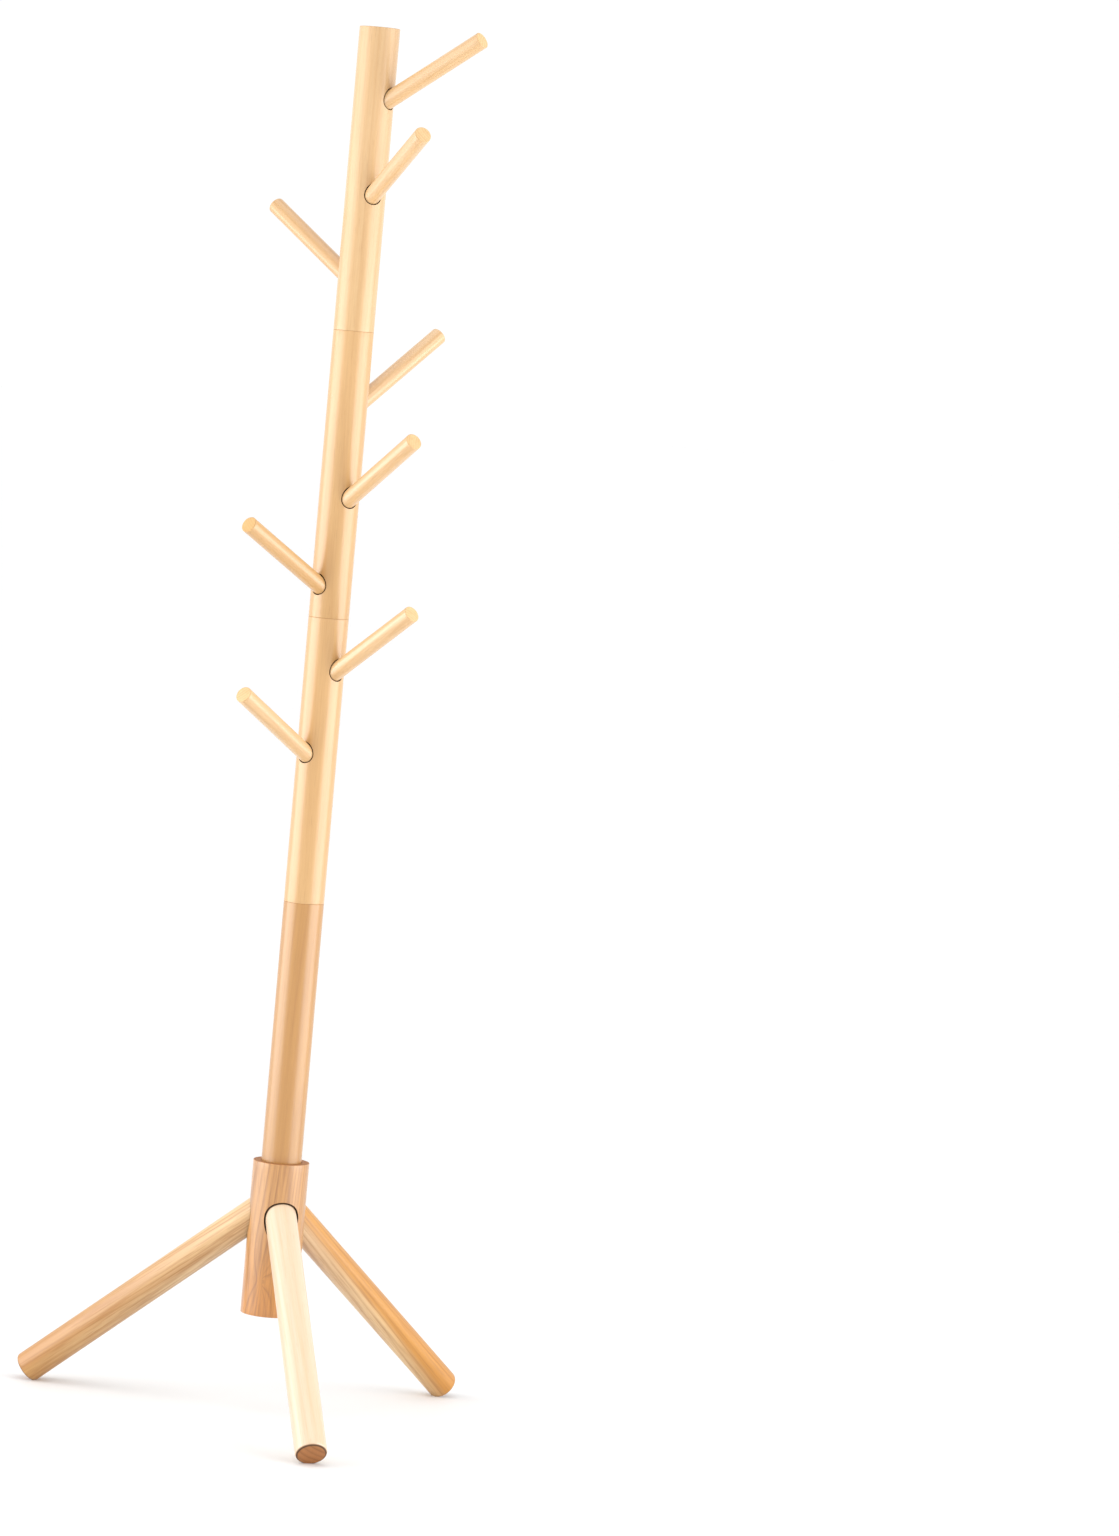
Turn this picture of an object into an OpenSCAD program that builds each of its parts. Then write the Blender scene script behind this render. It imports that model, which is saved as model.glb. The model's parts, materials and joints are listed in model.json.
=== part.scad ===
// Standing coat rack: a round wooden pole in four screwed sections, eight round pegs that
// slant up and out, and a thicker round hub that holds three splayed round legs.
// Frame: origin on the floor under the pole's axis, +Z up the pole, front leg along -Y.

/* [Pole] */
// Diameter of the round pole
pole_d = 51; // [48:0.5:54]
// Length of each of the three lower pole sections
section_length = 360; // [345:1:380]
// Length of the top pole section
top_length = 378; // [350:1:400]
// Radius that softens the top end of the pole
pole_top_round = 1.2; // [0.5:0.1:3]

/* [Hub] */
// Diameter of the hub that carries the pole and the legs
hub_d = 71; // [67:0.5:74]
// Length of the hub
hub_length = 195; // [180:1:220]
// Height of the hub's underside above the floor
hub_lift = 127; // [115:1:140]
// Depth of the socket in the hub's top face that takes the pole
pole_socket_depth = 30; // [26:0.5:31]

/* [Legs] */
// Diameter of the round legs
leg_d = 40; // [34:0.5:41]
// Slope of the legs below the horizontal, in degrees
leg_slope = 39.5; // [36:0.5:44]
// Radius that softens the foot end of each leg
foot_round = 4; // [3:0.5:6]
// Depth of the small flat worn on each foot where it meets the floor
foot_flat = 1; // [0.5:0.1:1.5]

/* [Pegs] */
// Diameter of the round pegs
peg_d = 21.5; // [16:0.5:22]
// Distance from the pole's axis to a peg's tip
peg_reach = 180; // [140:5:220]
// Radius that softens the tip of each peg
peg_tip_round = 1.2; // [0.5:0.1:3]

/* [Hardware] */
// Diameter of the threaded studs that hold the pole sections and the legs
stud_d = 8; // [6:0.5:8]
// Diameter of the threaded studs that hold the pegs
peg_stud_d = 6; // [5:0.5:6]
// Wall of the threaded inserts sunk in the wood
insert_wall = 2; // [1.5:0.1:2]

/* [Hidden] */
$fn = 96;

// Clearances. The sockets show a thin open ring round each leg and peg.
leg_gap = 2;          // radial, leg in its socket
peg_gap = 1.2;        // radial, peg in its socket
pole_gap = 0.4;       // radial, pole in the hub
thread_gap = 0.05;    // radial, stud in its insert
stud_relief = 0.5;    // radial, stud in the blind hole past its insert
seat_gap = 0.2;       // between a peg or leg and the floor of its socket
end_break = 0.5;      // edge softening where two turned pieces meet
past_face = 1;        // how far a cut starts outside the face it opens
round_fn = 32;        // facets of a full circle in the rounded ends

// Where the slanted sockets stop, measured along their axis from the pole's axis
peg_seat = 15;
leg_seat = 26;

// Threaded hardware: length of each insert, how far each stud stands out of the piece that
// carries it, and how far it is sunk into that piece
pole_insert_l = 18;
peg_insert_l = 13;
leg_insert_l = 13;
pole_stud_out = 20;
peg_stud_out = 12;
leg_stud_out = 12;
pole_stud_in = 20;
peg_stud_in = 22;
leg_stud_in = 30;
hole_spare = 2;       // blind depth left past the tip of a pole stud
slant_spare = 0.5;    // blind depth left past a slanted insert

// Heights along the pole's axis
hub_top = hub_lift + hub_length;
pole_foot = hub_top - pole_socket_depth;
LENGTH = [section_length, section_length, section_length, top_length];
function section_z(i) = pole_foot + i * section_length;

// The leg axes cross the pole's axis a little under the pole's socket
leg_cross_drop = 17;
leg_cross = pole_foot - leg_cross_drop;
foot_edge = leg_d / 2 - foot_round;
leg_reach = foot_round
    + (leg_cross - foot_edge * cos(leg_slope) - foot_round + foot_flat) / sin(leg_slope);
FRONT = -90;
RIGHT = 30;
LEFT = 150;
LEG_TURNS = [FRONT, RIGHT, LEFT];

// Pegs from the top down: [pole section, height above the section's lower end,
// turn about the pole from +X, rise above the horizontal]
PEGS = [
    [3, 275, -46, 32],
    [3, 157, -78, 30],
    [3, 56, 124, 31],
    [2, 255, 29, 37],
    [2, 137, -68, 32],
    [2, 28, -145, 28],
    [1, 279, -59, 34],
    [1, 176, -140, 29]
];
function pegs_on(section) = [for (p = PEGS) if (p[0] == section) p];

// A turned rod standing on z = 0, with its lower and upper edges rounded
module rod(d, length, low_round, high_round) {
    rotate_extrude() {
        translate([0, low_round]) square([d / 2, length - low_round - high_round]);
        square([d / 2 - low_round, low_round]);
        translate([d / 2 - low_round, low_round])
            intersection() {
                circle(low_round, $fn = round_fn);
                translate([0, -low_round]) square(low_round);
            }
        translate([0, length - high_round]) square([d / 2 - high_round, high_round]);
        translate([d / 2 - high_round, length - high_round])
            intersection() {
                circle(high_round, $fn = round_fn);
                square(high_round);
            }
    }
}

// A blind hole whose mouth is at z = top and whose floor is at z = bottom
module hole(d, bottom, top) {
    translate([0, 0, bottom]) cylinder(d = d, h = top - bottom);
}

// A threaded insert as a plain sleeve from z = bottom to z = top
module insert(thread_d, bottom, top) {
    difference() {
        translate([0, 0, bottom]) cylinder(d = thread_d + 2 * insert_wall, h = top - bottom);
        hole(thread_d + 2 * thread_gap, bottom - past_face, top + past_face);
    }
}

// What a section or the hub holds a pole stud by, opening upwards at z = 0
module pole_stud_hole() {
    hole(stud_d + 2 * insert_wall, -pole_insert_l, past_face);
    hole(stud_d + 2 * stud_relief, -pole_stud_out - hole_spare, past_face);
}

// A slanted socket for a rod of diameter d, with the hole for its insert below the seat
module slanted_socket(d, seat, thread_d, insert_l) {
    hole(d, seat, hub_d);
    hole(thread_d + 2 * insert_wall, seat - insert_l - slant_spare, hub_d);
}

// Places its children with their +Z along a peg's axis, from the pole's axis outwards
module on_peg(peg) {
    translate([0, 0, section_z(peg[0]) + peg[1]])
        rotate([0, 90 - peg[3], peg[2]]) children();
}

// Places its children with their +Z down a leg's axis, from the pole's axis outwards
module on_leg(turn) {
    translate([0, 0, leg_cross]) rotate([0, 90 + leg_slope, turn]) children();
}

// Pole section i, counted from the bottom, with every socket that is cut in it
module pole_section(i) {
    z0 = section_z(i);
    length = LENGTH[i];
    is_top = i == 3;
    difference() {
        translate([0, 0, z0])
            rod(pole_d, length, end_break, is_top ? pole_top_round : end_break);
        translate([0, 0, z0]) hole(stud_d, -past_face, pole_stud_in);
        if (!is_top)
            translate([0, 0, z0 + length]) pole_stud_hole();
        for (peg = pegs_on(i))
            on_peg(peg) slanted_socket(peg_d + 2 * peg_gap, peg_seat, peg_stud_d, peg_insert_l);
    }
}

// The stud sunk in the lower end of pole section i
module pole_stud(i) {
    translate([0, 0, section_z(i) - pole_stud_out])
        cylinder(d = stud_d, h = pole_stud_out + pole_stud_in);
}

// The insert in the upper end of pole section i; section -1 is the hub
module pole_insert(i) {
    translate([0, 0, section_z(i + 1)]) insert(stud_d, -pole_insert_l, 0);
}

// The inserts under the peg sockets of one pole section
module peg_inserts(section) {
    for (peg = pegs_on(section))
        on_peg(peg) insert(peg_stud_d, peg_seat - peg_insert_l, peg_seat);
}

module peg(i) {
    foot = peg_seat + seat_gap;
    on_peg(PEGS[i])
        difference() {
            translate([0, 0, foot]) rod(peg_d, peg_reach - foot, end_break, peg_tip_round);
            hole(peg_stud_d, foot - past_face, foot + peg_stud_in);
        }
}

module peg_stud(i) {
    foot = peg_seat + seat_gap;
    on_peg(PEGS[i])
        translate([0, 0, foot - peg_stud_out])
            cylinder(d = peg_stud_d, h = peg_stud_out + peg_stud_in);
}

module leg(turn) {
    foot = leg_seat + seat_gap;
    difference() {
        on_leg(turn)
            difference() {
                translate([0, 0, foot]) rod(leg_d, leg_reach - foot, end_break, foot_round);
                hole(stud_d, foot - past_face, foot + leg_stud_in);
            }
        translate([-leg_reach, -leg_reach, -leg_d]) cube([2 * leg_reach, 2 * leg_reach, leg_d]);
    }
}

module leg_stud(turn) {
    foot = leg_seat + seat_gap;
    on_leg(turn)
        translate([0, 0, foot - leg_stud_out])
            cylinder(d = stud_d, h = leg_stud_out + leg_stud_in);
}

module leg_hub() {
    color("burlywood")
        difference() {
            translate([0, 0, hub_lift]) rod(hub_d, hub_length, end_break, end_break);
            hole(pole_d + 2 * pole_gap, pole_foot, hub_top + past_face);
            translate([0, 0, pole_foot]) pole_stud_hole();
            for (turn = LEG_TURNS)
                on_leg(turn) slanted_socket(leg_d + 2 * leg_gap, leg_seat, stud_d, leg_insert_l);
        }
}

module hub_pole_insert() { color("goldenrod") pole_insert(-1); }

module hub_leg_inserts() {
    color("goldenrod")
        for (turn = LEG_TURNS)
            on_leg(turn) insert(stud_d, leg_seat - leg_insert_l, leg_seat);
}

module leg_front() { color("moccasin") leg(FRONT); }
module leg_right() { color("navajowhite") leg(RIGHT); }
module leg_left() { color("tan") leg(LEFT); }

module leg_front_stud() { color("silver") leg_stud(FRONT); }
module leg_right_stud() { color("silver") leg_stud(RIGHT); }
module leg_left_stud() { color("silver") leg_stud(LEFT); }

module pole_lower() { color("burlywood") pole_section(0); }
module pole_middle() { color("navajowhite") pole_section(1); }
module pole_upper() { color("burlywood") pole_section(2); }
module pole_top() { color("navajowhite") pole_section(3); }

module pole_lower_stud() { color("silver") pole_stud(0); }
module pole_middle_stud() { color("silver") pole_stud(1); }
module pole_upper_stud() { color("silver") pole_stud(2); }
module pole_top_stud() { color("silver") pole_stud(3); }

module pole_lower_insert() { color("goldenrod") pole_insert(0); }
module pole_middle_insert() { color("goldenrod") pole_insert(1); }
module pole_upper_insert() { color("goldenrod") pole_insert(2); }

module middle_peg_inserts() { color("goldenrod") peg_inserts(1); }
module upper_peg_inserts() { color("goldenrod") peg_inserts(2); }
module top_peg_inserts() { color("goldenrod") peg_inserts(3); }

module numbered_peg(i) { color("wheat") peg(i); }
module numbered_peg_stud(i) { color("silver") peg_stud(i); }

leg_hub();
hub_pole_insert();
hub_leg_inserts();
leg_front();
leg_right();
leg_left();
leg_front_stud();
leg_right_stud();
leg_left_stud();
pole_lower();
pole_middle();
pole_upper();
pole_top();
pole_lower_stud();
pole_middle_stud();
pole_upper_stud();
pole_top_stud();
pole_lower_insert();
pole_middle_insert();
pole_upper_insert();
middle_peg_inserts();
upper_peg_inserts();
top_peg_inserts();
numbered_peg(0);  // peg_1
numbered_peg(1);  // peg_2
numbered_peg(2);  // peg_3
numbered_peg(3);  // peg_4
numbered_peg(4);  // peg_5
numbered_peg(5);  // peg_6
numbered_peg(6);  // peg_7
numbered_peg(7);  // peg_8
numbered_peg_stud(0);  // peg_stud_1
numbered_peg_stud(1);  // peg_stud_2
numbered_peg_stud(2);  // peg_stud_3
numbered_peg_stud(3);  // peg_stud_4
numbered_peg_stud(4);  // peg_stud_5
numbered_peg_stud(5);  // peg_stud_6
numbered_peg_stud(6);  // peg_stud_7
numbered_peg_stud(7);  // peg_stud_8
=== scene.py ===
import json
import math

import bmesh
import bpy
from mathutils import Matrix, Quaternion, Vector

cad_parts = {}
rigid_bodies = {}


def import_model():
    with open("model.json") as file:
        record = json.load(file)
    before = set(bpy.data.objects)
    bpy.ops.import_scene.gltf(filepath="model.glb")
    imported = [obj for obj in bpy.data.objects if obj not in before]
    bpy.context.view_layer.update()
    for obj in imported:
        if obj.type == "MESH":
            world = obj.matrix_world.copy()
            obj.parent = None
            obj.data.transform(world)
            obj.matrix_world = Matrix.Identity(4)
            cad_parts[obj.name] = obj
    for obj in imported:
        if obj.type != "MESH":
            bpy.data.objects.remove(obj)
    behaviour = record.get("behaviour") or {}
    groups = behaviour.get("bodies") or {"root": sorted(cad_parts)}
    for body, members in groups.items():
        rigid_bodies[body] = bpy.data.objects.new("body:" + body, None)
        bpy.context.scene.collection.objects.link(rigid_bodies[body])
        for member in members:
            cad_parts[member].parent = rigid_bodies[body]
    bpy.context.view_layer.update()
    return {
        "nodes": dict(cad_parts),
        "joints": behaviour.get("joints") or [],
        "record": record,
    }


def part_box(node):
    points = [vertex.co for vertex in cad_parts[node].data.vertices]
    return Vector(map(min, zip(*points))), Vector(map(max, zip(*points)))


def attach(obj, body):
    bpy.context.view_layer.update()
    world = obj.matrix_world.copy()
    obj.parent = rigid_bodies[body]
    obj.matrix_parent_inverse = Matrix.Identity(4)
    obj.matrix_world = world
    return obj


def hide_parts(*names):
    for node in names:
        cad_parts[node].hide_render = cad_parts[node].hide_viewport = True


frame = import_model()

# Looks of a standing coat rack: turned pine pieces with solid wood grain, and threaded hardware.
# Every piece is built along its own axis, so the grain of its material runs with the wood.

BODIES = frame["record"]["behaviour"]["bodies"]
JOINT_OF = {joint["child"]: joint for joint in frame["joints"]}
SLOT_OF = {part["node"]: part["material_slot"] for part in frame["record"]["subparts"]}
MM = 0.001

# The fits of the design, in metres: rings left open round each piece, and hardware sizes
GAP = {"pole": 0.4 * MM, "leg": 2 * MM, "peg": 1.2 * MM}
SEAT_GAP = 0.2 * MM
STUD_RELIEF = 0.5 * MM
INSERT_RELIEF = 0.5 * MM
PAST_FACE = 1 * MM
HOLE_LEAD = 10 * MM
STUD_OUT = {"pole": 20 * MM, "leg": 12 * MM, "peg": 12 * MM}
INSERT_LENGTH = {"pole": 18 * MM, "leg": 13 * MM, "peg": 13 * MM}
INSERT_WALL = 2 * MM
INSERT_RIDGE = 0.6 * MM
INSERT_PITCH = 3 * MM
BORE_GAP = 0.05 * MM
BORE_RIDGE = 0.5 * MM
THREAD_PITCH = {"pole": 1.25 * MM, "leg": 1.25 * MM, "peg": 1.0 * MM}
THREAD_CORE = 0.82  # of a stud's radius
WOOD_PITCHES = 2.2  # pitch of a stud's wood thread, in pitches of its machine thread
END_BREAK = 0.5 * MM
TIP_ROUND = 1.2 * MM
FOOT_ROUND = 4 * MM
SANDED = 0.08 * MM  # keeps a turned piece just inside the CAD's faceted one

# Mesh detail: sides of a turned piece, of a socket, of a plain bore and of a thread
ROD_SEGMENTS = 112
SOCKET_SEGMENTS = 72
BORE_SEGMENTS = 48
THREAD_SEGMENTS = 28
THREAD_LEVELS = 8  # points in each pitch of a thread
RIDGE_PEAK = 1.6  # where a ridge's flanks would meet, in its own heights: its crest is flat at 1
RIDGE_SLOPE = 5.0  # how steep its flanks are, in its own heights for each pitch
WELD = 0.01 * MM
SAME_HEIGHT = 0.02  # millimetres that two open edges at one height may differ by
LID_SPREAD = 0.2 * MM  # radii that differ by more than this bound a ring, not a lid
ARC_STEPS = 6
RING_SPACING = 8 * MM
SHARP_ANGLE = math.radians(32)
CUT_REACH = 0.1  # metres that a socket's cutter goes on past its seat


# ---------------------------------------------------------------- places from the frame

def kind_of(body):
    """Which fit a body is held by: "pole", "leg" or "peg"."""
    if body.endswith("_section"):
        return "pole"
    return "leg" if body.endswith("_leg") else "peg"


def wood_node(body):
    """The wooden node of a body."""
    return next(n for n in BODIES[body] if "stud" not in n and "insert" not in n)


def stud_node(body):
    return next(n for n in BODIES[body] if "stud" in n)


def axis_of(body):
    """A point on a body's own axis and the axis's direction, away from the piece that holds it."""
    if body not in JOINT_OF:
        return Vector(), Vector((0, 0, 1))
    low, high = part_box(stud_node(body))
    return (low + high) / 2, Vector(JOINT_OF[body]["axis"]).normalized()


def span(node, point, direction):
    """How far a CAD node reaches along a line, both ways, and its radius about that line."""
    reach, radius = [], 0.0
    for vertex in frame["nodes"][node].data.vertices:
        offset = vertex.co - point
        along = offset.dot(direction)
        reach.append(along)
        radius = max(radius, (offset - direction * along).length)
    return min(reach), max(reach), radius


def local_frame(origin, direction):
    """The matrix whose +Z is direction; its +X lies in the vertical plane where there is one."""
    z = direction.normalized()
    side = Vector((0, 0, 1)).cross(z)
    y = side.normalized() if side.length > 1e-6 else Vector((0, 1, 0))
    return Matrix.Translation(origin) @ Matrix((y.cross(z), y, z)).transposed().to_4x4()


# ---------------------------------------------------------------- meshes

def new_piece(name, mesh_source, place, material):
    """A shown object from a bmesh built along its own +Z, smooth but sharp at real edges.

    Its vertices are moved to their place in the row frame, so its bounds are exact.
    """
    bmesh.ops.transform(mesh_source, matrix=place, verts=mesh_source.verts)
    mesh = bpy.data.meshes.new(name)
    mesh_source.to_mesh(mesh)
    mesh_source.free()
    for polygon in mesh.polygons:
        polygon.use_smooth = True
    mesh.set_sharp_from_angle(angle=SHARP_ANGLE)
    mesh.materials.append(material)
    piece = bpy.data.objects.new(name, mesh)
    bpy.context.scene.collection.objects.link(piece)
    return piece


def arc(centre_r, centre_z, radius, start, stop):
    """Points of a quarter round on a profile, angles in degrees from the outward direction."""
    angles = [math.radians(start + (stop - start) * i / ARC_STEPS) for i in range(ARC_STEPS + 1)]
    return [(centre_r + radius * math.cos(a), centre_z + radius * math.sin(a)) for a in angles]


def rod_profile(radius, length, low_round, high_round):
    """Profile of a turned rod as (radius, height) pairs from the middle of one end to the other."""
    start, stop = low_round, length - high_round
    low = arc(radius - low_round, start, low_round, -90, 0)
    high = arc(radius - high_round, stop, high_round, 0, 90)
    rings = max(1, round((stop - start) / RING_SPACING))
    shaft = [(radius, start + (stop - start) * i / rings) for i in range(1, rings)]
    disc = [0.0, radius * 0.35, radius * 0.7]
    return ([(r, 0.0) for r in disc] + low + shaft + high
            + [(r, length) for r in reversed(disc)])


def lathe(profile, segments=ROD_SEGMENTS):
    """A closed bmesh turned from a profile that starts and ends on the axis."""
    bm = bmesh.new()
    turns = [2 * math.pi * i / segments for i in range(segments)]
    rows = []
    for radius, height in profile:
        if radius < 1e-9:
            rows.append([bm.verts.new((0, 0, height))] * segments)
        else:
            rows.append([bm.verts.new((radius * math.cos(t), radius * math.sin(t), height))
                         for t in turns])
    for lower, upper in zip(rows, rows[1:]):
        for i in range(segments):
            j = (i + 1) % segments
            corners = []
            for vertex in (lower[i], lower[j], upper[j], upper[i]):
                if vertex not in corners:
                    corners.append(vertex)
            if len(corners) > 2:
                bm.faces.new(corners)
    return bm


def cutting_tool(bm):
    """A short-lived object for cutting, from a bmesh in the row frame."""
    mesh = bpy.data.meshes.new("cutter")
    bm.to_mesh(mesh)
    bm.free()
    tool = bpy.data.objects.new("cutter", mesh)
    bpy.context.scene.collection.objects.link(tool)
    return tool


def cutter(radius, start, stop, place, segments=SOCKET_SEGMENTS):
    """A rod for cutting, from start to stop along +Z of place."""
    bm = lathe([(0, start), (radius, start), (radius, stop), (0, stop)], segments)
    bmesh.ops.transform(bm, matrix=place, verts=bm.verts)
    return cutting_tool(bm)


def carve(piece, tools):
    """Cuts every tool out of a piece for good."""
    bpy.context.view_layer.update()
    for number, tool in enumerate(tools):
        cut = piece.modifiers.new(f"cut_{number}", "BOOLEAN")
        cut.operation = "DIFFERENCE"
        cut.solver = "EXACT"
        cut.object = tool
    depsgraph = bpy.context.evaluated_depsgraph_get()
    shape = bpy.data.meshes.new_from_object(piece.evaluated_get(depsgraph))
    piece.modifiers.clear()
    old = piece.data
    piece.data = shape
    shape.name = old.name
    bpy.data.meshes.remove(old)
    for tool in tools:
        bpy.data.objects.remove(tool)
    shape.set_sharp_from_angle(angle=SHARP_ANGLE)


def helix_wall(bm, core, crest, pitch, start, stop):
    """Adds an open tube from start to stop whose wall carries one right-hand thread.

    The grid follows the helix, so each ridge is one clean spiral, and it fades at both ends.
    A crest below the core makes the thread of a bore.
    """
    ridge = [max(0.0, min(1.0, RIDGE_PEAK - RIDGE_SLOPE * abs(level / THREAD_LEVELS - 0.5)))
             for level in range(THREAD_LEVELS)]
    last = math.ceil((stop - start) / pitch * THREAD_LEVELS)
    columns = []
    for j in range(THREAD_SEGMENTS + 1):
        turn = j / THREAD_SEGMENTS
        angle = 2 * math.pi * j / THREAD_SEGMENTS
        column = []
        for k in range(-THREAD_LEVELS, last + 1):
            z = min(max(start + pitch * (k / THREAD_LEVELS + turn), start), stop)
            fade = max(0.0, min(1.0, (z - start) / pitch, (stop - z) / pitch))
            radius = core + (crest - core) * ridge[k % THREAD_LEVELS] * fade
            column.append(bm.verts.new((radius * math.cos(angle), radius * math.sin(angle), z)))
        columns.append(column)
    for left, right in zip(columns, columns[1:]):
        for k in range(len(left) - 1):
            bm.faces.new((left[k], right[k], right[k + 1], left[k + 1]))
    bmesh.ops.remove_doubles(bm, verts=bm.verts, dist=WELD)


def close_ends(bm):
    """Closes every open end: a ring between two open edges at one height, or a flat lid."""
    open_edges = [e for e in bm.edges if e.is_boundary]
    heights = sorted({round(e.verts[0].co.z / MM, 2) for e in open_edges})
    for height in heights:
        edges = [e for e in open_edges if abs(e.verts[0].co.z / MM - height) < SAME_HEIGHT]
        radii = [v.co.to_2d().length for e in edges for v in e.verts]
        if max(radii) - min(radii) > LID_SPREAD:
            bmesh.ops.bridge_loops(bm, edges=edges)
        else:
            bmesh.ops.holes_fill(bm, edges=edges, sides=0)
    bmesh.ops.recalc_face_normals(bm, faces=bm.faces)


# ---------------------------------------------------------------- materials

def node(tree, kind, inputs=None, **settings):
    """Adds a shader node; inputs are values or sockets, by name or by number."""
    made = tree.nodes.new(kind)
    for key, value in settings.items():
        setattr(made, key, value)
    for key, value in (inputs or {}).items():
        if isinstance(value, bpy.types.NodeSocket):
            tree.links.new(value, made.inputs[key])
        else:
            made.inputs[key].default_value = value
    return made


def calc(tree, operation, *values):
    """One Math node; returns its output."""
    return node(tree, "ShaderNodeMath", dict(enumerate(values)), operation=operation).outputs[0]


def vector_calc(tree, operation, *values, output=0):
    return node(tree, "ShaderNodeVectorMath", dict(enumerate(values)),
                operation=operation).outputs[output]


def noise(tree, vector, scale, detail=2.0, roughness=0.5):
    """One Noise node; returns it, for its value ("Fac") or its three values ("Color")."""
    return node(tree, "ShaderNodeTexNoise",
                {"Vector": vector, "Scale": scale, "Detail": detail, "Roughness": roughness})


def ramp(tree, factor, stops):
    """One ramp of grey values: stops are (position, value)."""
    made = node(tree, "ShaderNodeValToRGB", {"Fac": factor})
    elements = made.color_ramp.elements
    while len(elements) < len(stops):
        elements.new(0.5)
    for element, (position, value) in zip(elements, stops):
        element.position = position
        element.color = (value, value, value, 1)
    return made.outputs["Color"]


def blend_colour(tree, factor, first, second, mode="MIX"):
    made = node(tree, "ShaderNodeMix", {0: factor}, data_type="RGBA", blend_type=mode)
    for number, colour in ((6, first), (7, second)):
        if isinstance(colour, bpy.types.NodeSocket):
            tree.links.new(colour, made.inputs[number])
        else:
            made.inputs[number].default_value = (*colour, 1)
    return made.outputs[2]


def new_material(name, **shader):
    """A material with its Principled node's own sockets set; returns it, its tree and the node."""
    material = bpy.data.materials.new(name)
    material.use_nodes = True
    tree = material.node_tree
    principled = next(n for n in tree.nodes if n.type == "BSDF_PRINCIPLED")
    for key, value in shader.items():
        principled.inputs[key.replace("_", " ")].default_value = value
    return material, tree, principled


CREAM = (0.64, 0.415, 0.20)
BLOND = (0.565, 0.33, 0.125)
TOAST = (0.455, 0.225, 0.055)
HONEY = (0.47, 0.24, 0.075)
AMBER = (0.32, 0.13, 0.028)
ROSE = (0.54, 0.27, 0.085)
IVORY = (0.66, 0.50, 0.345)
HEART = (0.52, 0.24, 0.04)
RUSSET = (0.22, 0.08, 0.02)
RESIN = (0.25, 0.11, 0.03)
END_RING = (0.16, 0.065, 0.02)
# painted shade: the near-black colour of surfaces inside sockets and holes, in place of their
# shadow
SOCKET_SHADE = (0.07, 0.030, 0.010)
RING_SWAY = 0.012  # metres that the rings wander sideways
BELL_BASE = 0.3679  # one over e, for a knot's soft edge


def stretch(tree, vector, along):
    """The vector with its height scaled, which draws a pattern out along the grain."""
    return vector_calc(tree, "MULTIPLY", vector, (1, 1, along))


def grain_mask(tree, space, along, scale, detail, roughness, low, high):
    """Marks drawn out along the grain: none where the noise is below low, full above high."""
    value = noise(tree, stretch(tree, space, along), scale, detail, roughness).outputs["Fac"]
    return ramp(tree, value, [(low, 0.0), (high, 1.0)])


def knot_pull(tree, here, knot):
    """How near the knot is, from 0 to 1, and how far it pushes the rings aside there."""
    x, y, z, size = knot
    to_knot = stretch(tree, vector_calc(tree, "SUBTRACT", here, (x, y, z)), 0.55)
    spread = calc(tree, "DIVIDE", vector_calc(tree, "LENGTH", to_knot, output=1), size)
    nearness = calc(tree, "POWER", BELL_BASE, calc(tree, "MULTIPLY", spread, spread))
    push = vector_calc(tree, "SCALE", vector_calc(tree, "NORMALIZE", to_knot))
    tree.links.new(calc(tree, "MULTIPLY", nearness, size * 0.9), push.node.inputs["Scale"])
    return nearness, push


def growth_rings(tree, grain, here, ring, knot):
    """Distance from the pith, how dark the growth ring is, and how near the knot is, if any."""
    along = stretch(tree, grain, 0.12)
    drift = vector_calc(tree, "SUBTRACT", noise(tree, along, 15.0, 2.0).outputs["Color"],
                        (0.5, 0.5, 0.5))
    sway = vector_calc(tree, "MULTIPLY", drift, (RING_SWAY, RING_SWAY, 0))
    nearness = None
    if knot:
        nearness, push = knot_pull(tree, here, knot)
        sway = vector_calc(tree, "ADD", sway, push)
    across = stretch(tree, vector_calc(tree, "ADD", grain, sway), 0)
    from_pith = vector_calc(tree, "LENGTH", across, output=1)
    wander = calc(tree, "MULTIPLY", noise(tree, along, 6.0, 1.0).outputs["Fac"], 1.6)
    count = calc(tree, "ADD", calc(tree, "DIVIDE", from_pith, ring), wander)
    latewood = ramp(tree, calc(tree, "FRACT", count),
                    [(0.0, 0.25), (0.3, 0.0), (0.6, 0.3), (0.88, 1.0), (1.0, 0.25)])
    each = node(tree, "ShaderNodeTexWhiteNoise", {"W": calc(tree, "FLOOR", count)},
                noise_dimensions="1D").outputs["Value"]
    dark_ring = calc(tree, "MULTIPLY", latewood, calc(tree, "MULTIPLY_ADD", each, 0.8, 0.2))
    return from_pith, dark_ring, nearness


def socket_shade_mask(tree, here, in_row, facing, radius, socket_radius):
    """Where a surface lies inside the piece, or just inside the socket that holds it: the mask for
    painted shade, which darkens holes, socket walls and the ring in a socket's gap as if in shadow.
    """
    from_axis = vector_calc(tree, "LENGTH", stretch(tree, here, 0), output=1)
    depth = calc(tree, "DIVIDE", calc(tree, "SUBTRACT", radius, from_axis), 4 * MM)
    not_an_end = calc(tree, "SUBTRACT", 1.0, ramp(tree, facing, [(0.93, 0.0), (0.99, 1.0)]))
    sunk = calc(tree, "MULTIPLY", ramp(tree, depth, [(0.15, 0.0), (0.35, 1.0)]), not_an_end)
    if socket_radius:
        from_pole = vector_calc(tree, "LENGTH", stretch(tree, in_row, 0), output=1)
        inside = calc(tree, "DIVIDE", calc(tree, "SUBTRACT", socket_radius, from_pole), 10 * MM)
        mark = ramp(tree, inside, [(0.02, 0.0), (0.10, 1.0), (0.55, 1.0), (0.95, 0.0)])
        sunk = calc(tree, "MAXIMUM", sunk, mark)
    return sunk


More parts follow.
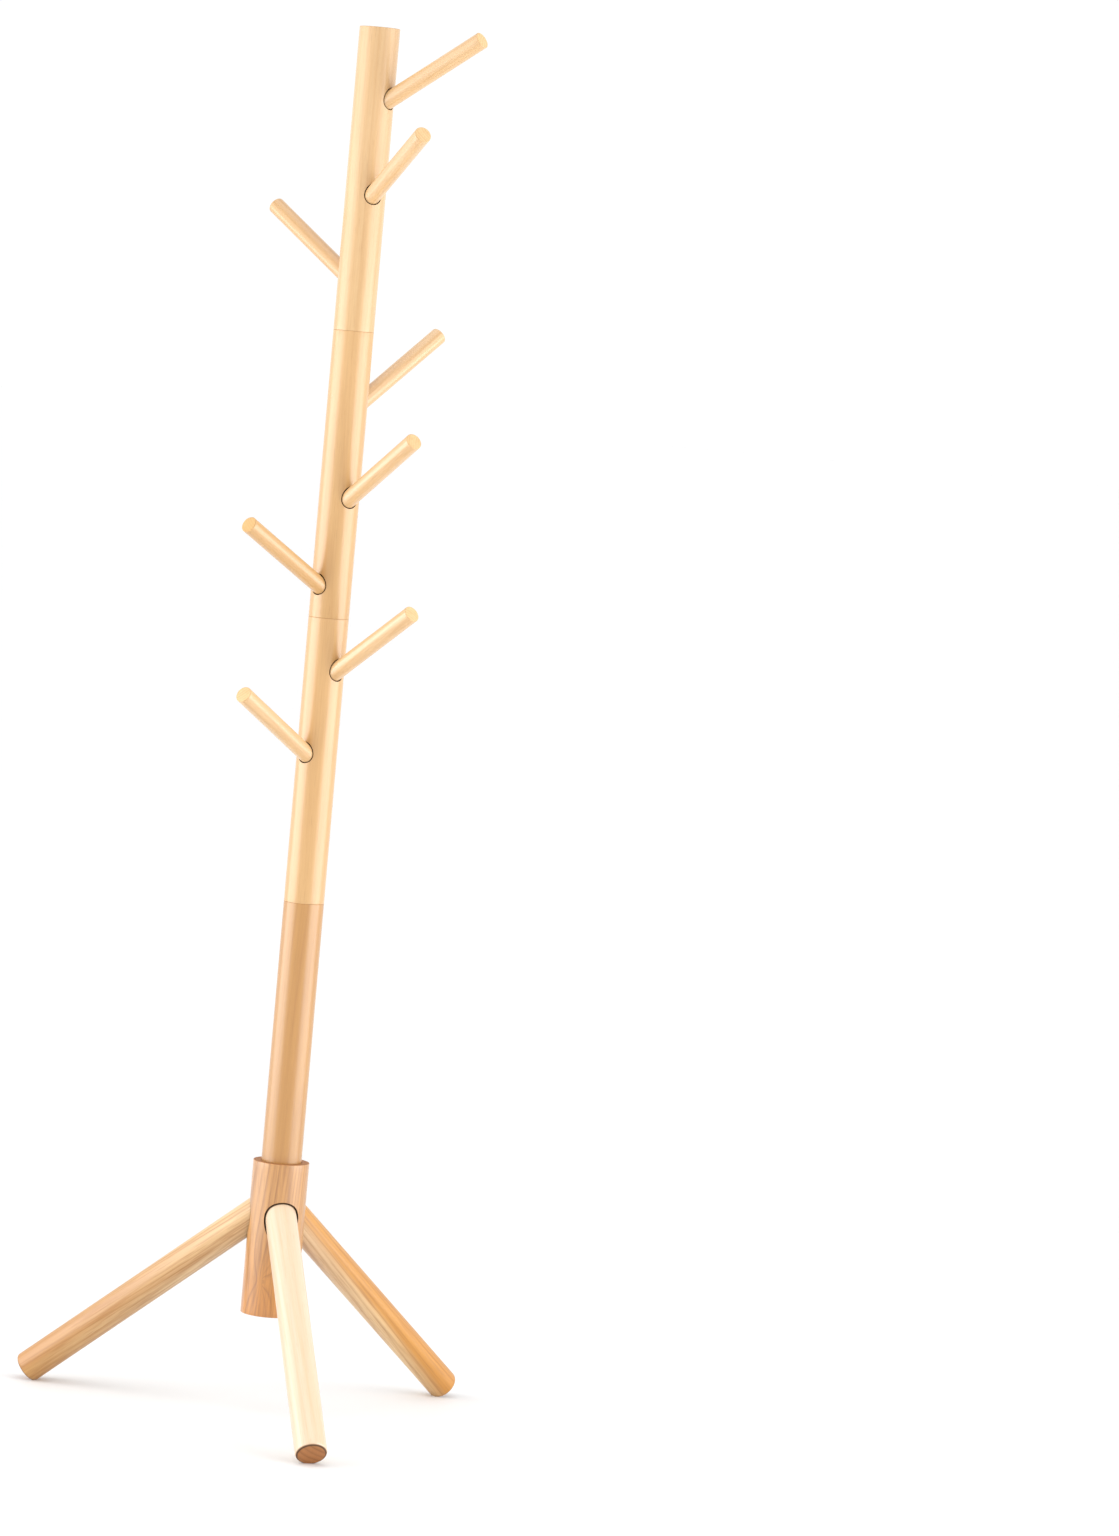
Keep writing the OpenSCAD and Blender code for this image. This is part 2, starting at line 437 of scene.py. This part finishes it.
def pine(name, place, radius, early, late, pith, ring=0.0045, lean=(0.0, 0.0), contrast=0.5,
         streaks=0.5, heart=HEART, heart_at=0.03, heart_mix=0.5, seed=0.0, ends=(0.8, 0.66, 0.52),
         end_rings=0.55, gloss=0.95, fade=None, knot=None, socket_radius=None):
    """Varnished pine: growth rings round a pith line that runs beside the piece.

    place is the matrix whose +Z is the piece's own axis, which the grain follows. pith is
    where the pith line passes that axis, in metres, and lean tilts it in radians, which opens
    the rings into arches. Within heart_at of the pith the wood is heartwood. ends tints the end
    grain, end_rings is the strength of its rings, and gloss is the weight of the varnish; an ends
    tint above one, as on the pegs, is a painted sheen that pales the tips. fade is (z where the
    tint is full, z where it begins, tint), and knot is (x, y, z, size) of a knot that bends the
    rings. Drilled walls inside the piece, and the mark just inside the socket of a rod held in a
    piece of socket_radius, get painted shade: they are darkened as if in shadow.
    """
    material, tree, shader = new_material(
        name, Coat_Weight=gloss, Coat_Roughness=0.27, Coat_IOR=1.6, Specular_IOR_Level=0.45)
    position = node(tree, "ShaderNodeTexCoord")
    to_local = place.inverted()
    here = node(tree, "ShaderNodeMapping", {
        "Vector": position.outputs["Object"], "Location": to_local.translation,
        "Rotation": to_local.to_euler()}).outputs[0]
    grain = node(tree, "ShaderNodeMapping", {
        "Vector": here, "Location": (-pith[0], -pith[1], seed), "Rotation": (*lean, 0)}).outputs[0]
    from_pith, dark_ring, nearness = growth_rings(tree, grain, here, ring, knot)

    # Broad tone: heartwood near the pith, drifting along the piece, and a tint at one end
    in_heart = node(tree, "ShaderNodeMapRange", {
        "Value": calc(tree, "SUBTRACT", heart_at, from_pith), "From Min": -0.004,
        "From Max": 0.005}, interpolation_type="SMOOTHSTEP").outputs[0]
    broad = grain_mask(tree, grain, 0.2, 26.0, 1.0, 0.5, 0.35, 0.65)
    colour = blend_colour(tree, calc(tree, "MULTIPLY", in_heart, heart_mix), early, heart)
    colour = blend_colour(tree, calc(tree, "MULTIPLY", broad, 0.25 * streaks), colour, late)
    if knot:
        colour = blend_colour(tree, calc(tree, "MULTIPLY", nearness, 0.6), colour, heart)
    if fade:
        full_at, begins_at, tint = fade
        height = node(tree, "ShaderNodeSeparateXYZ", {0: here}).outputs["Z"]
        depth = calc(tree, "DIVIDE", calc(tree, "SUBTRACT", begins_at, height),
                     begins_at - full_at)
        tinted = blend_colour(tree, 1.0, colour, tint, "MULTIPLY")
        colour = blend_colour(tree, ramp(tree, depth, [(0.0, 0.0), (1.0, 1.0)]), colour, tinted)

    # Growth rings, long streaks, resin canals and fibres
    fibre = noise(tree, stretch(tree, here, 0.018), 900.0, 3.0, 0.6).outputs["Fac"]
    streak = grain_mask(tree, grain, 0.02, 130.0, 2.0, 0.55, 0.48, 0.70)
    fine = grain_mask(tree, grain, 0.03, 420.0, 2.0, 0.6, 0.50, 0.68)
    canals = grain_mask(tree, here, 0.035, 1300.0, 1.0, 0.5, 0.66, 0.74)
    for mask, strength, tone in ((dark_ring, contrast, late), (streak, 0.5 * streaks, late),
                                 (fine, 0.45 * streaks, late), (canals, 0.22, RESIN)):
        colour = blend_colour(tree, calc(tree, "MULTIPLY", mask, strength), colour, tone)
    shade = calc(tree, "MULTIPLY_ADD", fibre, 0.16, 0.92)
    grey = node(tree, "ShaderNodeCombineColor", {0: shade, 1: shade, 2: shade}).outputs[0]
    colour = blend_colour(tree, 1.0, colour, grey, "MULTIPLY")

    # End grain drinks the varnish, and its rings stand out, though on the pegs the ends tint is a
    # painted sheen; walls inside sockets and holes get painted shade, near black as if in shadow
    facing = calc(tree, "ABSOLUTE", vector_calc(
        tree, "DOT_PRODUCT", position.outputs["Normal"], place.col[2][:3], output=1))
    end_grain = ramp(tree, facing, [(0.45, 0.0), (0.80, 1.0)])
    # The ends tint: end grain soaked darker on most pieces, and a painted sheen on the pegs' tips
    soaked_and_sheen = blend_colour(tree, 1.0, colour, ends, "MULTIPLY")
    soaked_and_sheen = blend_colour(tree, calc(tree, "MULTIPLY", dark_ring, end_rings), soaked_and_sheen, END_RING)
    colour = blend_colour(tree, end_grain, colour, soaked_and_sheen)
    sunk = socket_shade_mask(tree, here, position.outputs["Object"], facing, radius, socket_radius)
    colour = blend_colour(tree, calc(tree, "MULTIPLY", sunk, 0.93), colour, SOCKET_SHADE)
    tree.links.new(colour, shader.inputs["Base Color"])

    dull = calc(tree, "MULTIPLY_ADD", fibre, 0.16, 0.36)
    bare = calc(tree, "MAXIMUM", end_grain, sunk)
    tree.links.new(calc(tree, "MULTIPLY_ADD", bare, 0.25, dull), shader.inputs["Roughness"])
    coat = calc(tree, "MULTIPLY_ADD", bare, -0.9 * gloss, gloss)
    tree.links.new(coat, shader.inputs["Coat Weight"])
    relief = calc(tree, "ADD", calc(tree, "MULTIPLY", fibre, 0.7),
                  calc(tree, "MULTIPLY", dark_ring, 0.3))
    bump = node(tree, "ShaderNodeBump", {"Height": relief, "Strength": 0.3, "Distance": 0.15 * MM})
    tree.links.new(bump.outputs[0], shader.inputs["Normal"])
    return material


def metal(name, bright, dull, seed):
    """Plated hardware: cloudy plating, fine tool marks round the thread and duller patches."""
    material, tree, shader = new_material(name, Metallic=1.0)
    here = node(tree, "ShaderNodeTexCoord").outputs["Object"]
    shifted = vector_calc(tree, "ADD", here, (seed, seed, seed))
    cloud = noise(tree, shifted, 180.0, 3.0).outputs["Fac"]
    marks = noise(tree, stretch(tree, here, 12), 900.0, 2.0).outputs["Fac"]
    patch = ramp(tree, cloud, [(0.38, 0.0), (0.66, 1.0)])
    tree.links.new(blend_colour(tree, patch, bright, dull), shader.inputs["Base Color"])
    rough = calc(tree, "ADD", calc(tree, "MULTIPLY", patch, 0.16),
                 calc(tree, "MULTIPLY_ADD", marks, 0.2, 0.2))
    tree.links.new(rough, shader.inputs["Roughness"])
    bump = node(tree, "ShaderNodeBump", {"Height": marks, "Strength": 0.2, "Distance": 0.05 * MM})
    tree.links.new(bump.outputs[0], shader.inputs["Normal"])
    return material


def floor_paint():
    """Matt white, a little greyer near the rack, so its soft shadows show, and plain far off."""
    material, tree, shader = new_material("floor_paint", Roughness=0.7)
    here = node(tree, "ShaderNodeTexCoord").outputs["Object"]
    mottle = noise(tree, here, 2.5, 3.0).outputs["Fac"]
    away = node(tree, "ShaderNodeMapRange", {
        "Value": vector_calc(tree, "LENGTH", here, output=1), "From Min": 0.5, "From Max": 5.0},
        interpolation_type="SMOOTHSTEP").outputs[0]
    tone = calc(tree, "ADD", calc(tree, "MULTIPLY_ADD", away, 0.25, 0.72),
                calc(tree, "MULTIPLY", mottle, 0.02))
    grey = node(tree, "ShaderNodeCombineColor", {0: tone, 1: tone, 2: tone}).outputs[0]
    tree.links.new(grey, shader.inputs["Base Color"])
    return material


WOODS = {
    "pole_top": dict(early=CREAM, late=HONEY, pith=(0.020, -0.062), lean=(0.03, -0.02),
                     ring=0.007, contrast=0.30, streaks=0.4, heart_mix=0.0, seed=0.3,
                     fade=(0.0, 0.25, (0.96, 0.94, 0.88))),
    "pole_upper": dict(early=(0.59, 0.35, 0.14), late=HONEY, pith=(-0.030, -0.058),
                       lean=(-0.03, 0.02), ring=0.007, contrast=0.32, streaks=0.5,
                       heart_mix=0.0, seed=1.7, fade=(0.0, 0.3, (0.90, 0.87, 0.76))),
    "pole_middle": dict(early=BLOND, late=HONEY, pith=(0.026, 0.064), lean=(0.03, 0.01),
                        ring=0.007, contrast=0.30, streaks=0.5, heart_mix=0.0, seed=2.9),
    "pole_lower": dict(early=TOAST, late=AMBER, pith=(0.035, -0.052), lean=(-0.03, -0.02),
                       ring=0.007, contrast=0.25, streaks=0.4, heart_mix=0.0, seed=4.1),
    "leg_hub": dict(early=ROSE, late=RUSSET, pith=(0.030, -0.012), lean=(0.03, -0.04),
                    contrast=0.62, streaks=0.8, ring=0.0042, heart_at=0.032, heart_mix=0.5,
                    seed=5.3, fade=(0.0, 0.11, (1.0, 0.82, 0.50)),
                    knot=(-0.020, -0.032, 0.045, 0.018)),
    "leg_front": dict(early=IVORY, late=BLOND, pith=(-0.045, 0.020), lean=(0.02, 0.02),
                      ring=0.008, contrast=0.25, streaks=0.3, heart_mix=0.0, seed=6.1,
                      ends=(0.62, 0.34, 0.16)),
    "leg_right": dict(early=(0.74, 0.53, 0.31), late=(0.32, 0.12, 0.02), pith=(-0.028, -0.014),
                      lean=(0.02, -0.03), contrast=0.6, streaks=0.8, ring=0.005, heart_at=0.031,
                      heart=(0.54, 0.235, 0.015), heart_mix=0.9, seed=7.7, gloss=0.4,
                      fade=(0.42, 0.05, (0.95, 0.88, 0.66)), ends=(0.6, 0.42, 0.28)),
    "leg_left": dict(early=(0.77, 0.58, 0.34), late=(0.34, 0.14, 0.03), pith=(-0.004, 0.026),
                     lean=(-0.03, 0.03), contrast=0.65, streaks=1.05, ring=0.005, heart_at=0.020,
                     heart_mix=0.4, seed=8.9, gloss=0.4, fade=(0.42, 0.05, (0.68, 0.47, 0.21)),
                     ends=(0.7, 0.52, 0.38)),
}
PEG_PITHS = ((0.03, 0.02), (-0.02, 0.03), (0.025, -0.02), (-0.03, -0.015),
             (0.02, 0.03), (-0.025, 0.02), (0.03, -0.025), (-0.02, -0.03))
for peg_number, peg_pith in enumerate(PEG_PITHS, 1):
    WOODS[f"peg_{peg_number}"] = dict(
        early=CREAM if peg_number % 3 else BLOND, late=HONEY, pith=peg_pith, lean=(0.02, 0.03),
        ring=0.0035, contrast=0.40, streaks=0.5, heart_mix=0.0, seed=10.0 + 1.3 * peg_number,
        # ends above one pale the peg tips: a painted sheen in place of the gloss that bare end
        # grain loses
        ends=(1.12, 1.18, 1.25), end_rings=0.15)


# ---------------------------------------------------------------- wooden pieces

def sockets(body):
    """Cutters for every socket that a body's wood holds another piece in."""
    tools = []
    for child, joint in JOINT_OF.items():
        if joint["parent"] != body:
            continue
        kind = kind_of(child)
        point, direction = axis_of(child)
        place = local_frame(point, direction)
        foot, _, radius = span(wood_node(child), point, direction)
        _, _, stud_radius = span(stud_node(child), point, direction)
        seat = foot if kind == "pole" else foot - SEAT_GAP
        if kind != "pole" or body == "base":
            tools.append(cutter(radius + GAP[kind], seat, seat + CUT_REACH, place))
        insert_end = seat - INSERT_LENGTH[kind] - INSERT_RELIEF
        tools.append(cutter(stud_radius + INSERT_WALL, insert_end, seat + PAST_FACE, place))
        if kind == "pole":
            stud_end = seat - STUD_OUT[kind] - PAST_FACE
            tools.append(cutter(stud_radius + STUD_RELIEF, stud_end, seat + 2 * PAST_FACE,
                                place, BORE_SEGMENTS))
    return tools


def held_by(body):
    """The radius of the round piece that a leg or peg leaves, or None for the pole and hub."""
    if body not in JOINT_OF or kind_of(body) == "pole":
        return None
    parent = JOINT_OF[body]["parent"]
    return span(wood_node(parent), Vector(), Vector((0, 0, 1)))[2]


def under_floor():
    """A cutter that fills the space below the floor."""
    bm = bmesh.new()
    bmesh.ops.create_cube(bm, size=1.0, matrix=Matrix.Translation((0, 0, -0.5)))
    return cutting_tool(bm)


def wooden_piece(body):
    """The turned wooden piece of a body, with its sockets and the hole that its stud fills."""
    name = wood_node(body)
    point, direction = axis_of(body)
    low, high, radius = span(name, point, direction)
    radius -= SANDED
    kind = "hub" if body == "base" else kind_of(body)
    end_round = {"hub": END_BREAK, "leg": FOOT_ROUND, "peg": TIP_ROUND,
                 "pole": TIP_ROUND if name == "pole_top" else END_BREAK}[kind]
    place = local_frame(point + direction * low, direction)
    profile = rod_profile(radius, high - low, END_BREAK, end_round)
    wood = pine(f"pine_{name}", place, radius, socket_radius=held_by(body), **WOODS[name])
    piece = new_piece(f"{name}_wood", lathe(profile), place, wood)
    tools = sockets(body)
    if body in JOINT_OF:
        _, stud_end, stud_radius = span(stud_node(body), point, direction)
        tools.append(cutter(stud_radius, low - HOLE_LEAD, stud_end,
                            local_frame(point, direction), THREAD_SEGMENTS))
    if kind == "leg":
        tools.append(under_floor())
    carve(piece, tools)
    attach(piece, body)
    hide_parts(name)


# ---------------------------------------------------------------- hardware

def stud_piece(body, material):
    """A hanger stud: a machine thread that stands out and a coarse wood thread that is sunk."""
    name = stud_node(body)
    kind = kind_of(body)
    point, direction = axis_of(body)
    low, high, radius = span(name, point, direction)
    middle = low + STUD_OUT[kind]
    core = radius * THREAD_CORE
    pitch = THREAD_PITCH[kind]
    bm = bmesh.new()
    helix_wall(bm, core, radius, pitch, low, middle)
    helix_wall(bm, core, radius, WOOD_PITCHES * pitch, middle, high)
    close_ends(bm)
    piece = new_piece(f"{name}_thread", bm, local_frame(point, direction), material)
    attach(piece, body)
    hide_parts(name)


def insert_sleeve(child):
    """The bmesh, in the row frame, of the threaded insert that takes the stud of child."""
    kind = kind_of(child)
    point, direction = axis_of(child)
    foot, _, _ = span(wood_node(child), point, direction)
    _, _, stud_radius = span(stud_node(child), point, direction)
    top = foot if kind == "pole" else foot - SEAT_GAP
    bottom = top - INSERT_LENGTH[kind]
    outer = stud_radius + INSERT_WALL
    bore = stud_radius + BORE_GAP
    bm = bmesh.new()
    helix_wall(bm, outer - INSERT_RIDGE, outer, INSERT_PITCH, bottom, top)
    helix_wall(bm, bore, bore + BORE_RIDGE, THREAD_PITCH[kind], bottom, top)
    close_ends(bm)
    bmesh.ops.transform(bm, matrix=local_frame(point, direction), verts=bm.verts)
    return bm


def insert_piece(name, material):
    """All inserts of one node, as one piece of separate sleeves."""
    body = next(b for b, nodes in BODIES.items() if name in nodes)
    wants = "peg" if "peg" in name else "leg" if "leg" in name else "pole"
    bm = bmesh.new()
    for child, joint in JOINT_OF.items():
        if joint["parent"] == body and kind_of(child) == wants:
            mesh = bpy.data.meshes.new("sleeve")
            sleeve = insert_sleeve(child)
            sleeve.to_mesh(mesh)
            sleeve.free()
            bm.from_mesh(mesh)
            bpy.data.meshes.remove(mesh)
    piece = new_piece(f"{name}_sleeve", bm, Matrix.Identity(4), material)
    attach(piece, body)
    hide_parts(name)


# ---------------------------------------------------------------- stage, lights and camera

FLOOR_RADIUS = 60.0
WORLD_STRENGTH = 1.03
# Each softbox: name, place, aim, width and height in metres, watts
SOFTBOXES = (
    ("left_low_softbox", (-2.2, 0.1, 0.75), (0, 0, 0.75), (2.4, 1.5), 37),
    ("left_high_softbox", (-2.2, 0.1, 2.2), (0, 0, 1.3), (2.4, 1.3), 12),
    ("right_low_softbox", (1.87, -1.17, 0.75), (0, 0, 0.75), (2.4, 1.5), 36),
    ("right_high_softbox", (1.87, -1.17, 2.2), (0, 0, 1.3), (2.4, 1.3), 12),
    ("top_softbox", (-0.3, -0.2, 3.8), (0, 0, 0.6), (2.2, 2.2), 16),
)
CAMERA_AT = Vector((-1.536, -7.112, 1.4185))
CAMERA_AIM = Vector((0.3155, 0.0, 0.8434))
CAMERA_ROLL = math.radians(5.16)
CAMERA_LENS = 136.0  # millimetres
CAMERA_SENSOR = 36.0  # millimetres, along the picture's long side
CLIP_END = 200.0


def make_floor():
    bm = bmesh.new()
    bmesh.ops.create_circle(bm, cap_ends=True, segments=96, radius=FLOOR_RADIUS)
    mesh = bpy.data.meshes.new("floor")
    bm.to_mesh(mesh)
    bm.free()
    mesh.materials.append(floor_paint())
    floor = bpy.data.objects.new("floor", mesh)
    bpy.context.scene.collection.objects.link(floor)


def softbox(name, place, aim, size, power):
    light = bpy.data.lights.new(name, "AREA")
    light.shape = "RECTANGLE"
    light.size, light.size_y = size
    light.energy = power
    lamp = bpy.data.objects.new(name, light)
    bpy.context.scene.collection.objects.link(lamp)
    lamp.location = place
    lamp.rotation_mode = "QUATERNION"
    lamp.rotation_quaternion = (Vector(aim) - Vector(place)).to_track_quat("-Z", "Y")
    lamp.visible_camera = False


def make_lights():
    world = bpy.data.worlds.new("studio")
    bpy.context.scene.world = world
    world.use_nodes = True
    background = next(n for n in world.node_tree.nodes if n.type == "BACKGROUND")
    background.inputs["Color"].default_value = (1.0, 1.0, 1.0, 1)
    background.inputs["Strength"].default_value = WORLD_STRENGTH
    for box in SOFTBOXES:
        softbox(*box)


def make_camera():
    data = bpy.data.cameras.new("camera")
    data.lens = CAMERA_LENS
    data.sensor_width = CAMERA_SENSOR
    data.clip_end = CLIP_END
    camera = bpy.data.objects.new("camera", data)
    bpy.context.scene.collection.objects.link(camera)
    camera.location = CAMERA_AT
    camera.rotation_mode = "QUATERNION"
    facing = (CAMERA_AIM - CAMERA_AT).to_track_quat("-Z", "Y")
    camera.rotation_quaternion = facing @ Quaternion((0, 0, 1), CAMERA_ROLL)
    bpy.context.scene.camera = camera


for body_name in BODIES:
    wooden_piece(body_name)
zinc = metal("zinc_plate", (0.72, 0.72, 0.70), (0.50, 0.50, 0.49), 0.0)
brass = metal("brass_plate", (0.80, 0.62, 0.30), (0.58, 0.42, 0.20), 3.0)
for body_name in JOINT_OF:
    stud_piece(body_name, zinc)
for node_name in SLOT_OF:
    if "insert" in node_name:
        insert_piece(node_name, brass)
make_floor()
make_lights()
make_camera()
bpy.context.scene.view_settings.view_transform = "Standard"
